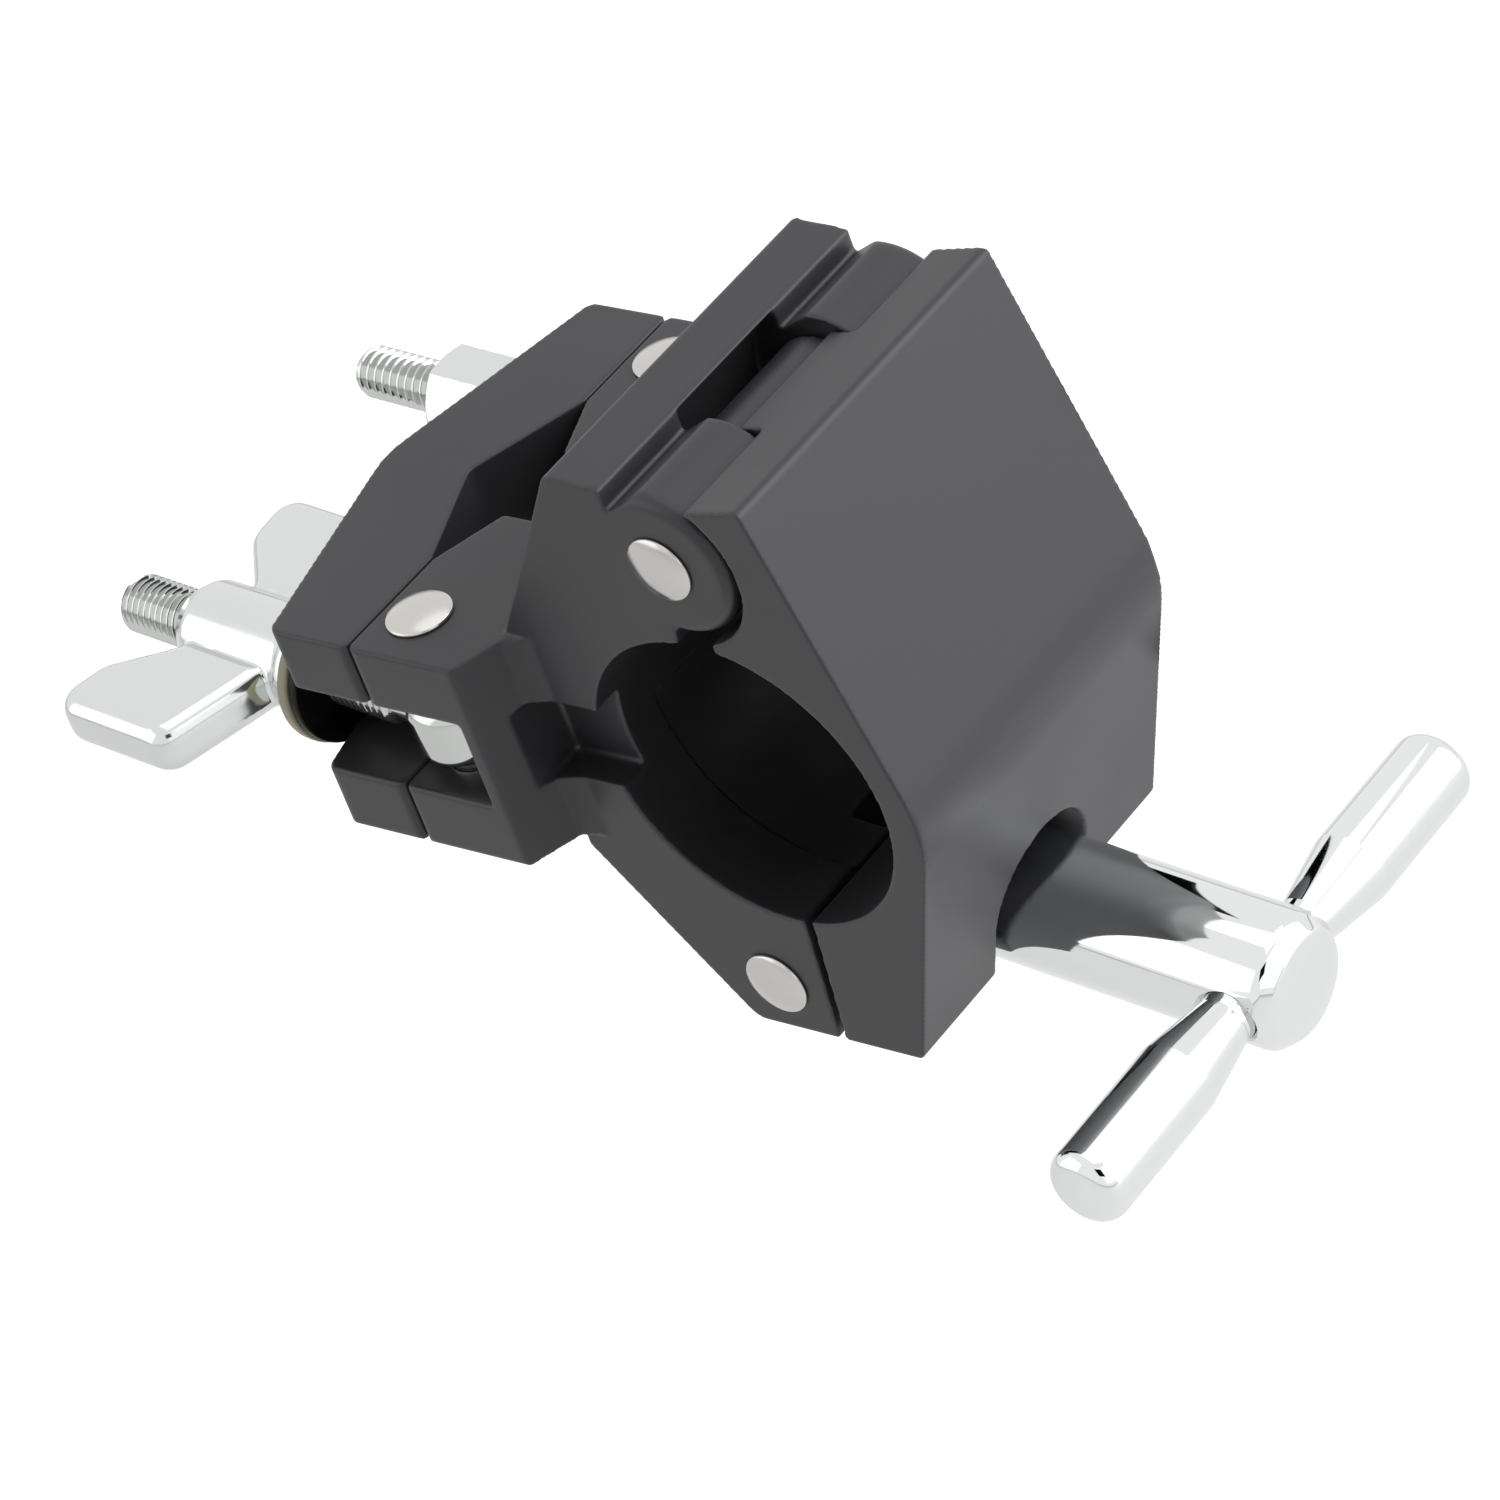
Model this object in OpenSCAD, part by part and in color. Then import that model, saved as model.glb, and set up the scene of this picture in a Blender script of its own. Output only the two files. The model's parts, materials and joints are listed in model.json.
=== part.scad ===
// Two-way rack clamp: a hinged tube clamp with a T-handle, and a V clamp on its back.
// Frame: origin on the tube axis at mid-width, X from the V clamp to the T-handle,
// Y along the tube, Z up. Lengths in millimetres.

/* [Tube clamp] */
// Outside diameter of the rack tube
tube_d = 38.1; // [36:0.1:40]
// Width of the tube clamp along the tube
clamp_w = 46; // [44:1:52]
// Distance from the tube axis back to the casting's rear face
body_back = 27.4; // [27.2:0.1:28]
// Thickness of the cover at its bend, outside the tube
cover_wall = 4; // [3.6:0.1:5]
// Depth of the casting below the tube
foot_drop = 17.3; // [16.8:0.1:18.5]
// Parting gap beside the tube
gap_top = 1.1; // [0.8:0.1:1.5]
// Parting gap at the foot
gap_foot = 0.8; // [0.6:0.1:1.2]
// Depth of the end notch in the bore
notch_depth = 4; // [2:0.5:6]
// Height of the end notch
notch_h = 10.5; // [8:0.5:11]
// Length of the relief in the middle of the bore
relief_w = 27; // [20:1:32]
// Depth of the relief in the bore
relief_depth = 0.5; // [0.3:0.1:0.8]

/* [Hinge] */
// Radius of the hinge barrel
barrel_r = 9; // [8:0.1:9.6]
// Radius of the rounding at the barrel's ends
barrel_edge = 1.5; // [0.5:0.1:2]
// Width of the cover's middle knuckle
knuckle_w = 17; // [14:0.5:19]
// Gap on each side of the middle knuckle
knuckle_gap = 0.3; // [0.2:0.05:0.5]
// How much smaller in radius the middle knuckle is than the barrel
knuckle_drop = 2.4; // [1:0.1:3]
// How far the cover's top face runs back over the middle knuckle
knuckle_lug = 3; // [1:0.2:3.6]
// Gap round the barrel, in the cover's socket and the body's pocket
socket_gap = 1.2; // [0.8:0.1:1.4]
// Web between the bore and the barrel
hinge_web = 1.55; // [1.2:0.05:2]
// Height of the ridge beside the hinge, above the hinge axis
ridge_h = 9.6; // [9.2:0.1:10.2]
// Width of the ridge beside the hinge
ridge_w = 7.5; // [5:0.1:8]
// How far the trough beside the ridge is sunk into the barrel
trough_drop = 1.3; // [0.5:0.1:2]
// Diameter of the rivet shanks of the tube clamp
rivet_d = 6; // [5:0.1:6.5]
// How far the rivet heads stand out round their shanks
head_rim = 1; // [0.8:0.1:1.4]
// Height of the domed rivet heads
head_h = 1.2; // [0.8:0.1:1.6]

/* [T-handle] */
// Tilt of the handle below the X axis, in degrees
handle_tilt = 7; // [4:0.5:9]
// Width of the slot in the foot for the bolt's eye
eye_slot_w = 12.6; // [11:0.1:14]
// Radius of the bolt's eye
eye_r = 5.6; // [5:0.1:6]
// Thread diameter of the handle's bolt
handle_thread = 8; // [7:0.1:8.4]
// Distance from the latch rivet to the washer seat
seat_d = 12.3; // [12:0.1:13]
// Width of the recess round the hub
recess_w = 17.4; // [17:0.1:18.4]
// Rise of the recess above the bolt axis
recess_lift = 2.5; // [1.5:0.1:3]
// Diameter of the hub
hub_d = 15.6; // [14:0.1:16]
// Distance from the latch rivet to the hub's outer end
hub_end = 54.6; // [53:0.1:60]
// Rounding of the hub's outer edge
hub_edge = 2; // [1:0.1:2.5]
// Distance from the hub's outer end to the arms' axis
arm_inset = 6.1; // [5.4:0.1:7]
// Length from tip to tip of the two arms
arm_span = 73; // [60:1:80]
// Diameter of an arm's grip
grip_d = 9.5; // [8:0.1:10]
// Rounding of a grip's end
grip_edge = 2.2; // [1:0.1:3]
// Diameter of an arm's neck
neck_d = 6.6; // [5.4:0.1:7]
// Length of the taper from neck to grip
taper_len = 9; // [6:0.5:12]
// Thickness of the handle's nylon washer
handle_nylon_t = 1.2; // [0.8:0.1:1.4]
// Thickness of the handle's steel washer
handle_steel_t = 1; // [0.8:0.1:1.2]

/* [V clamp] */
// Height of the jaws
jaw_h = 27.6; // [26:0.2:29]
// Height of the jaws' middle above the tube axis
jaw_z = 1.1; // [0.5:0.1:1.7]
// Length of the jaws along the tube
jaw_len = 60.4; // [58:0.2:64]
// Distance from the tube axis to the face where the jaws meet
jaw_face = 44.8; // [44:0.1:46]
// Gap between the closed jaws
jaw_gap = 0.3; // [0.2:0.05:0.5]
// Thickness of the base jaw at its ends
base_end_t = 15.2; // [14.6:0.1:15.4]
// Half-width of the V mouth
v_half = 14.3; // [12:0.1:15]
// Depth of the V in the base jaw
base_v_depth = 3.4; // [2:0.1:4]
// Width of the groove behind the V in the base jaw
groove_w = 11; // [9:0.5:12]
// Depth of the groove, from the face where the jaws meet
groove_depth = 10.8; // [9:0.1:11]
// Depth of the V in the outer jaw
v_depth = 5.9; // [4:0.1:6.5]
// Thickness of the outer jaw at its ends
jaw_end_t = 11.4; // [10.5:0.1:12]
// How far the outer jaw's bend stands out from its ends
jaw_bow = 6.8; // [6:0.1:7.5]
// Height of the end slots for the swing bolts
slot_h = 11.5; // [11:0.1:12]
// Distance from mid-width to each jaw rivet
jaw_rivet_y = 23; // [22.5:0.1:23.5]
// Distance from the jaw face back to the jaw rivets
jaw_rivet_back = 5.2; // [5:0.1:5.6]
// Diameter of the jaw rivet shanks
jaw_rivet_d = 5.8; // [5:0.1:6]

/* [Swing bolts] */
// Thread diameter of the wing nut's bolt
wing_thread = 7; // [6.6:0.1:8]
// Thickness of the eyes of the swing bolts
eye_t = 8; // [6:0.5:10]
// Thread diameter of the hex nut's bolt
hex_thread = 6.3; // [5.8:0.1:6.6]
// Length of the swing bolts from rivet to tip
bolt_len = 54.5; // [53:0.5:60]
// Lean of the wing nut's bolt towards the far side, in degrees
wing_lean = 6; // [0:0.5:6]
// Lean of the hex nut's bolt towards the far side, in degrees
hex_lean = 4; // [0:0.5:6]
// Distance from a jaw rivet to its washer seat
jaw_seat = 18.3; // [18.3:0.1:19]
// Diameter of the nylon washers
nylon_d = 16.4; // [15:0.1:16.6]
// Thickness of the nylon washers
nylon_t = 1.5; // [1:0.1:2]
// Diameter of the steel washers
steel_d = 15.8; // [14:0.1:16.4]
// Thickness of the steel washers
steel_t = 1.2; // [0.8:0.1:1.6]
// Width across the flats of the hex nut
nut_af = 10.2; // [9.5:0.1:11]
// Length of the hex nut
nut_len = 18.5; // [12:0.5:20]
// Length of the wing nut's hub
wing_hub_len = 21.6; // [20:0.2:26]
// Diameter of the wing nut's flange
wing_flange_d = 14.4; // [13:0.1:15]
// Tip to tip size of the wings
wing_span = 40; // [36:0.2:42]
// Width of a wing at its tip, along the bolt
wing_tip_w = 19.2; // [15:0.2:20]
// How far the wings stand out past the end of the nut's hub
wing_reach = 5; // [2:0.2:6]
// Thickness of the wings
wing_t = 6.4; // [5:0.1:7]

/* [Hidden] */
$fn = 72;
play = 0.05;        // running clearance on a radius
stack_gap = 0.05;   // clearance between two washers
side_play = 0.3;    // clearance beside an eye in its slot
seat_play = 0.4;    // clearance round a washer in its seat
far_out = 80;       // how far a cut runs past the castings
over = 1;           // how far a hole's cutter stands out of its piece

bore_r = tube_d / 2;
hinge_x = 0.3;
hinge_z = bore_r + hinge_web + barrel_r;
socket_r = barrel_r + socket_gap;
rivet_r = rivet_d / 2;
ridge_z = hinge_z + ridge_h;
ridge_front = hinge_x - 5;
ridge_back = ridge_front - ridge_w;
part_x = 1.2;                       // the casting's face at the parting gap
foot_part_x = part_x - 1.3;         // the same face at the foot
foot_back = -11.6;                  // rear corner of the foot
foot_z = -bore_r - foot_drop;
foot_run = 1;                       // drop from the bore to the start of the foot's faces

latch_x = -6.4;
latch_z = foot_z + 6.65;
nylon_0 = seat_d + stack_gap;
steel_0 = nylon_0 + handle_nylon_t + stack_gap;
hub_0 = steel_0 + handle_steel_t + stack_gap;
arm_d = hub_end - arm_inset;
arm_root = 3.5;                     // distance from the hub's axis to an arm's inner end
bore_wall = 0.8;                    // wall between the hub's thread and its cross hole
hub_bore_end = arm_d - neck_d / 2 - bore_wall;
handle_bolt_end = hub_bore_end - bore_wall;

jaw_top = jaw_z + jaw_h / 2;
jaw_bottom = jaw_z - jaw_h / 2;
jaw_end = jaw_len / 2;
base_face = -jaw_face + jaw_gap / 2;
outer_face = -jaw_face - jaw_gap / 2;
jaw_back = -jaw_face + base_end_t;  // back of the base jaw at its ends
jaw_neck = jaw_back + 2.7;          // back of the base jaw where it meets the casting
jaw_rivet_x = -jaw_face + jaw_rivet_back;
jaw_eye_r = jaw_rivet_back + 0.4;
slot_back = jaw_back - 2.1;
slot_inner = jaw_rivet_y - 7.5;
jaw_steel_0 = jaw_seat + stack_gap;
jaw_nylon_0 = jaw_steel_0 + steel_t + stack_gap;
jaw_nut_0 = jaw_nylon_0 + nylon_t + stack_gap;
wing_hub_end = jaw_nut_0 + wing_hub_len;

// A corner of an outline rounded to a radius: [x, y, r] with its two neighbours.
function unit(v) = v / norm(v);
function corner(a, b, c, steps = 8) =
    let (p = [b.x, b.y], u = unit([a.x, a.y] - p), w = unit([c.x, c.y] - p), r = b[2])
    r == 0 ? [p] :
    let (half = acos(u * w) / 2, m = p + unit(u + w) * r / sin(half),
         s = p + u * r / tan(half), e = p + w * r / tan(half),
         a0 = atan2(s.y - m.y, s.x - m.x), a1 = atan2(e.y - m.y, e.x - m.x),
         turn = (a1 - a0) - 360 * round((a1 - a0) / 360))
    [for (i = [0:steps]) m + r * [cos(a0 + turn * i / steps), sin(a0 + turn * i / steps)]];
function rounded(pts) =
    [for (i = [0:len(pts) - 1]) each
        corner(pts[(i + len(pts) - 1) % len(pts)], pts[i], pts[(i + 1) % len(pts)])];
// An outline joined to its mirror image in the X axis.
function both_halves(pts) = concat(pts, [for (i = [len(pts) - 1:-1:0]) [pts[i].x, -pts[i].y]]);
// A quarter circle of radius r about [x, y] from angle a0 to a1, as outline points.
function arc(x, y, r, a0, a1, steps = 6) =
    [for (i = [0:steps]) let (a = a0 + (a1 - a0) * i / steps) [x + r * cos(a), y + r * sin(a)]];

// A prism along Y from an outline in X and Z.
module along_y(w) translate([0, w / 2, 0]) rotate([90, 0, 0]) linear_extrude(w) children();
module y_cyl(r, w, x = 0, z = 0)
    translate([x, w / 2, z]) rotate([90, 0, 0]) cylinder(r = r, h = w);
module x_cyl(r, x0, x1) translate([x0, 0, 0]) rotate([0, 90, 0]) cylinder(r = r, h = x1 - x0);
module block(x, y, z) translate([x[0], y[0], z[0]]) cube([x[1] - x[0], y[1] - y[0], z[1] - z[0]]);
// A turned piece about X: the outline gives distance along X and radius.
module turned_x(pts) rotate([0, 90, 0]) rotate_extrude() polygon([for (p = pts) [p.y, p.x]]);
module both_sides() for (s = [-1, 1]) scale([1, s, 1]) children();

module at_hinge() translate([hinge_x, 0, hinge_z]) children();
module at_latch() translate([latch_x, 0, latch_z]) rotate([0, handle_tilt, 0]) children();
module at_wing() translate([jaw_rivet_x, -jaw_rivet_y, jaw_z]) rotate([0, 0, 180 - wing_lean]) children();
module at_hex() translate([jaw_rivet_x, jaw_rivet_y, jaw_z]) rotate([0, 0, 180 - hex_lean]) children();

// ---- the casting: rear half of the tube clamp with the base jaw ----
body_outline = rounded([
    [ridge_back, ridge_z, 1], [ridge_front, ridge_z - 0.4, 0.5],
    [ridge_front, hinge_z + barrel_r / 2, 0], [hinge_x, hinge_z, 0],
    [hinge_x - 1.8, bore_r, 0], [hinge_x - 1.8, bore_r / 2, 0], [part_x, -bore_r / 2, 0],
    [part_x, -bore_r - foot_run, 0.3], [foot_part_x, foot_z, 0.5], [foot_back, foot_z, 3],
    [-body_back, jaw_bottom - 2.2, 0], [-body_back, jaw_top, 0]]);

base_jaw_half = rounded([
    [jaw_neck + 6, 0, 0], [jaw_neck + 6, 0.1 - clamp_w / 2, 0],
    [jaw_neck + 3, -clamp_w / 2, 3.4], [jaw_neck, -clamp_w / 2 - 1, 0.6], [jaw_back, -jaw_end, 0.8],
    [base_face, -jaw_end, 1], [base_face, -v_half, 0.6],
    [base_face + base_v_depth, -groove_w / 2, 0.8], [-jaw_face + groove_depth, -groove_w / 2, 0]]);

module rounded_barrel(w) {
    c = barrel_r - barrel_edge;
    at_hinge() rotate([0, 0, 90]) turned_x(concat([[-w / 2, 0]],
        arc(barrel_edge - w / 2, c, barrel_edge, 180, 90),
        arc(w / 2 - barrel_edge, c, barrel_edge, 90, 0), [[w / 2, 0]]));
}

module base_jaw() translate([0, 0, jaw_bottom]) linear_extrude(jaw_h) polygon(both_halves(base_jaw_half));

// The open-ended slots that the swing bolts lie in.
module jaw_slots(x) both_sides() block(x, [slot_inner, jaw_len], [jaw_z - slot_h / 2, jaw_z + slot_h / 2]);

// The slot in the foot, with room for the bolt to swing down and away.
module eye_slot() {
    w = [-eye_slot_w / 2, eye_slot_w / 2];
    front = foot_part_x + 6;
    y_cyl(eye_r + side_play, eye_slot_w, latch_x, latch_z);
    block([latch_x - 14, latch_x], w, [-far_out, latch_z]);
    block([latch_x - play, front], w, [-far_out, latch_z + handle_thread / 2 + 1.2]);
    block([latch_x + 2, front], w, [latch_z, 0]);
}

module knuckle_pocket() {
    half = knuckle_w / 2 + knuckle_gap;
    y_cyl(socket_r, 2 * half, hinge_x, hinge_z);
    block([ridge_front + 0.7, far_out], [-half, half], [bore_r - 4, hinge_z]);
}

module end_notches() both_sides()
    block([-body_back - 0.5, -bore_r / 2], [clamp_w / 2 - notch_depth, clamp_w],
        [jaw_z - notch_h / 2 - 0.35, jaw_z + notch_h / 2 - 0.35]);

// The trough beside the ridge, which planes the back of the barrel down.
module trough() {
    wall_x = ridge_front - hinge_x;
    wall_z = sqrt(barrel_r * barrel_r - wall_x * wall_x) - trough_drop;
    at_hinge() along_y(clamp_w + 2 * over)
        polygon([[wall_x, far_out], [wall_x, wall_z], [-0.5, barrel_r], [-0.5, far_out]]);
}

module clamp_body() color("#3a393c") difference() {
    union() {
        along_y(clamp_w) polygon(body_outline);
        rounded_barrel(clamp_w);
        base_jaw();
    }
    y_cyl(bore_r, clamp_w + 2 * over);
    difference() {
        y_cyl(bore_r + relief_depth, relief_w);
        block([-far_out, far_out], [-far_out, far_out], [0.7, far_out]);
    }
    knuckle_pocket();
    trough();
    y_cyl(rivet_r + play, clamp_w + 2 * over, hinge_x, hinge_z);
    y_cyl(rivet_r + play, clamp_w + 2 * over, latch_x, latch_z);
    eye_slot();
    end_notches();
    jaw_slots([-far_out, slot_back]);
    both_sides() translate([jaw_rivet_x, jaw_rivet_y, jaw_bottom - over])
        cylinder(r = jaw_rivet_d / 2 + play, h = jaw_h + 2 * over);
}

// ---- the cover: front half of the tube clamp ----
cover_x = part_x + gap_top;
top_back = [5.4, 8.2];              // rear edge of the cover's top face, from the hinge axis
top_slope = 0.2;                    // rise of that face towards the plate
cover_outline = rounded([
    [hinge_x + top_back.x, hinge_z + top_back.y, 0.8], [bore_r - 4.85, hinge_z + 9.9, 0.8],
    [bore_r + cover_wall + 0.9, -1.75, 18], [11.4, foot_z, 0.8], [foot_part_x + gap_foot, foot_z, 0.5],
    [cover_x, -bore_r - foot_run, 0.3], [cover_x, -bore_r / 2, 0], [cover_x + 1.1, bore_r / 2, 0],
    [cover_x + 1.1, hinge_z, 0]]);

// Room for the washers and the hub, open below so that the bolt can swing down.
module recess() {
    slot_w = handle_thread + 1;
    translate([0, 0, recess_lift]) x_cyl(recess_w / 2, seat_d, far_out);
    block([seat_d, far_out], [-recess_w / 2, recess_w / 2], [-far_out, recess_lift]);
    translate([0, 0, 1]) x_cyl(slot_w / 2, 0, far_out);
    block([0, far_out], [-slot_w / 2, slot_w / 2], [-far_out, 1]);
    difference() {
        block([0, far_out], [-recess_w / 2, recess_w / 2], [-far_out, 0.5]);
        y_cyl(seat_d - side_play, far_out);
    }
}

// The lug that carries the cover's top face back over the middle knuckle.
module lug() {
    back = top_back - knuckle_lug * [1, top_slope];
    front = top_back + [1.5, 1.5 * top_slope];
    at_hinge() along_y(knuckle_w) polygon([front, back, [back.x, 3], [front.x, 1]]);
}

module clamp_cover() color("#434145") difference() {
    union() {
        difference() {
            along_y(clamp_w) polygon(cover_outline);
            both_sides() translate([0, clamp_w / 2, 0]) y_cyl(socket_r, clamp_w - knuckle_w, hinge_x, hinge_z);
        }
        y_cyl(barrel_r - knuckle_drop, knuckle_w, hinge_x, hinge_z);
        lug();
    }
    y_cyl(bore_r, clamp_w + 2 * over);
    y_cyl(rivet_r + play, clamp_w + 2 * over, hinge_x, hinge_z);
    at_latch() recess();
}

// ---- rivets ----
// A round shank with a shallow domed head set at each end of the length that it holds.
module domed_rivet(shank_r, length) {
    head_r = shank_r + head_rim;
    ball_r = (head_r * head_r + head_h * head_h) / (2 * head_h);
    seat = length / 2 + play;
    centre = seat + head_h - ball_r;
    dome = asin(head_r / ball_r);
    turned_x(concat(arc(-centre, 0, ball_r, 180, 180 - dome), [[-seat, shank_r], [seat, shank_r]],
        arc(centre, 0, ball_r, dome, 0)));
}

module across_clamp() rotate([0, 0, 90]) children();
module jaw_rivet(s) translate([jaw_rivet_x, s * jaw_rivet_y, jaw_z]) rotate([0, 90, 0])
    domed_rivet(jaw_rivet_d / 2, jaw_h);

module hinge_rivet() color("#c9c9c2") at_hinge() across_clamp() domed_rivet(rivet_r, clamp_w);
module latch_rivet() color("#c9c9c2") at_latch() across_clamp() domed_rivet(rivet_r, clamp_w);
module jaw_rivet_near() color("#c9c9c2") jaw_rivet(-1);
module jaw_rivet_far() color("#c9c9c2") jaw_rivet(1);

// ---- T-handle ----
module washer(r, hole_r, x0, t) difference() {
    x_cyl(r, x0, x0 + t);
    x_cyl(hole_r, x0 - over, x0 + t + over);
}
// A threaded rod along X, with its end chamfered.
module stud(r, length) turned_x([[0, 0], [0, r], [length - 1, r], [length, r - 1], [length, 0]]);

module handle_bolt() color("#b4b4b0") at_latch() difference() {
    union() {
        y_cyl(eye_r, eye_slot_w - 2 * side_play);
        stud(handle_thread / 2, handle_bolt_end);
    }
    y_cyl(rivet_r + play, eye_slot_w);
}

module handle_nylon_washer() color("#e2dcc0") at_latch()
    washer(hub_d / 2 + side_play, handle_thread / 2 + play, nylon_0, handle_nylon_t);
module handle_steel_washer() color("#c4c4c0") at_latch()
    washer(hub_d / 2, handle_thread / 2 + play, steel_0, handle_steel_t);

module handle_hub() color("#d6d7d4") at_latch() difference() {
    crown = 0.6;                        // how far the hub's end is domed
    chamfer = 0.6;
    rim = hub_d / 2 - hub_edge;
    turned_x(concat([[hub_0, 0], [hub_0, hub_d / 2 - chamfer], [hub_0 + chamfer, hub_d / 2]],
        arc(hub_end - crown - hub_edge, rim, hub_edge, 90, 15),
        [for (k = [0:6]) [hub_end - crown * pow(1 - k / 6, 2), rim * (1 - k / 6)]]));
    x_cyl(handle_thread / 2 + play, hub_0 - over, hub_bore_end);
    both_sides() translate([arm_d, arm_root, 0]) rotate([-90, 0, 0])
        cylinder(r = neck_d / 2 + play, h = hub_d);
}

module handle_arm() {
    tip = arm_span / 2;
    neck_end = hub_d / 2 + 0.6;
    crown = 0.5;                        // how far the grip's end is domed
    translate([arm_d, 0, 0]) rotate([0, 0, 90]) turned_x(concat(
        [[arm_root + play, 0], [arm_root + play, neck_d / 2], [neck_end, neck_d / 2],
         [neck_end + taper_len, grip_d / 2]],
        arc(tip - crown - grip_edge, grip_d / 2 - grip_edge, grip_edge, 90, 0), [[tip, 0]]));
}
module handle_arm_near() color("#d6d7d4") at_latch() mirror([0, 1, 0]) handle_arm();
module handle_arm_far() color("#d6d7d4") at_latch() handle_arm();

// ---- V clamp ----
outer_jaw_outline = rounded([
    [outer_face - v_depth, 0, 2], [outer_face, -v_half, 0.6], [outer_face, -jaw_end, 1],
    [-jaw_face - jaw_end_t, -jaw_end, 1.6], [-jaw_face - jaw_end_t - jaw_bow - 0.4, 0, 12],
    [-jaw_face - jaw_end_t, jaw_end, 1.6], [outer_face, jaw_end, 1], [outer_face, v_half, 0.6]]);

module washer_seat() block([jaw_seat, far_out], [-nylon_d / 2 - 1.4, nylon_d / 2 + 1.4],
    [-nylon_d / 2 - seat_play, nylon_d / 2 + seat_play]);

module outer_jaw() color("#343336") difference() {
    translate([0, 0, jaw_bottom]) linear_extrude(jaw_h) polygon(outer_jaw_outline);
    jaw_slots([-far_out, 0]);
    at_wing() washer_seat();
    at_hex() washer_seat();
}

// ---- swing bolts ----
module swing_bolt(thread) difference() {
    union() {
        translate([0, 0, -eye_t / 2]) cylinder(r = jaw_eye_r, h = eye_t);
        stud(thread / 2, bolt_len);
    }
    translate([0, 0, -slot_h]) cylinder(r = jaw_rivet_d / 2 + play, h = 2 * slot_h);
}
module wing_bolt() color("#b9bab6") at_wing() swing_bolt(wing_thread);
module hex_bolt() color("#b9bab6") at_hex() swing_bolt(hex_thread);

// A blackened steel washer against the jaw, then a nylon one under the nut.
module jaw_steel(thread) color("#2c2b2d") washer(steel_d / 2, thread / 2 + play, jaw_steel_0, steel_t);
module jaw_nylon(thread) color("#e2dcc0") washer(nylon_d / 2, thread / 2 + play, jaw_nylon_0, nylon_t);
module wing_steel_washer() at_wing() jaw_steel(wing_thread);
module wing_nylon_washer() at_wing() jaw_nylon(wing_thread);
module hex_steel_washer() at_hex() jaw_steel(hex_thread);
module hex_nylon_washer() at_hex() jaw_nylon(hex_thread);

wing_flange_r = wing_flange_d / 2;
wing_hub_r = wing_flange_r - 1.2;
wing_tip_end = wing_hub_end + wing_reach;
wing_outline = rounded([
    [jaw_nut_0 + 3.8, 4.5, 0], [jaw_nut_0 + 4.6, 8.5, 8], [wing_tip_end - wing_tip_w, wing_span / 2, 3.2],
    [wing_tip_end, wing_span / 2, 3.2], [wing_tip_end - 1.5, wing_span / 2 - 8, 4],
    [wing_hub_end - 2, wing_hub_r + 1, 3], [wing_hub_end - 4.4, 4.5, 0]]);

module wing_nut() color("#d0d2cd") at_wing() difference() {
    union() {
        turned_x([[jaw_nut_0, 0], [jaw_nut_0, wing_flange_r], [jaw_nut_0 + 1.6, wing_flange_r],
            [jaw_nut_0 + 3, wing_hub_r], [wing_hub_end - 2.4, wing_hub_r - 0.3],
            [wing_hub_end - 0.7, wing_hub_r - 0.9], [wing_hub_end, wing_hub_r - 1.6], [wing_hub_end, 0]]);
        both_sides() translate([0, 0, -wing_t / 2]) linear_extrude(wing_t) polygon(wing_outline);
    }
    x_cyl(wing_thread / 2 + play, 0, bolt_len);
}

module hex_nut() color("#d0d2cd") at_hex() difference() {
    corner_r = nut_af / 2 / cos(30);
    chamfer = 0.6;
    end = jaw_nut_0 + nut_len;
    intersection() {
        translate([jaw_nut_0, 0, 0]) rotate([0, 90, 0]) rotate([0, 0, 30])
            cylinder(r = corner_r, h = nut_len, $fn = 6);
        turned_x([[jaw_nut_0, 0], [jaw_nut_0, nut_af / 2], [jaw_nut_0 + chamfer, corner_r + 0.1],
            [end - chamfer, corner_r + 0.1], [end, nut_af / 2], [end, 0]]);
    }
    x_cyl(hex_thread / 2 + play, 0, bolt_len);
}

clamp_body();
clamp_cover();
hinge_rivet();
latch_rivet();
handle_bolt();
handle_nylon_washer();
handle_steel_washer();
handle_hub();
handle_arm_near();
handle_arm_far();
outer_jaw();
jaw_rivet_near();
jaw_rivet_far();
wing_bolt();
wing_nylon_washer();
wing_steel_washer();
wing_nut();
hex_bolt();
hex_nylon_washer();
hex_steel_washer();
hex_nut();
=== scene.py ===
# %% [markdown]
# # A two-way rack clamp
# The clamp has two jaws back to back. A hinged tube clamp with a T-handle grips a 38 mm rack tube,
# and a V clamp behind it grips a rod with two swing bolts. Its sizes and joints come from the
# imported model, the frame, and this lesson gives it its finish. Each cell makes one piece or one
# finish and says why that way.

# %% Load the frame
import json
import math
import bmesh
import bpy
from mathutils import Matrix, Vector


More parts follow.
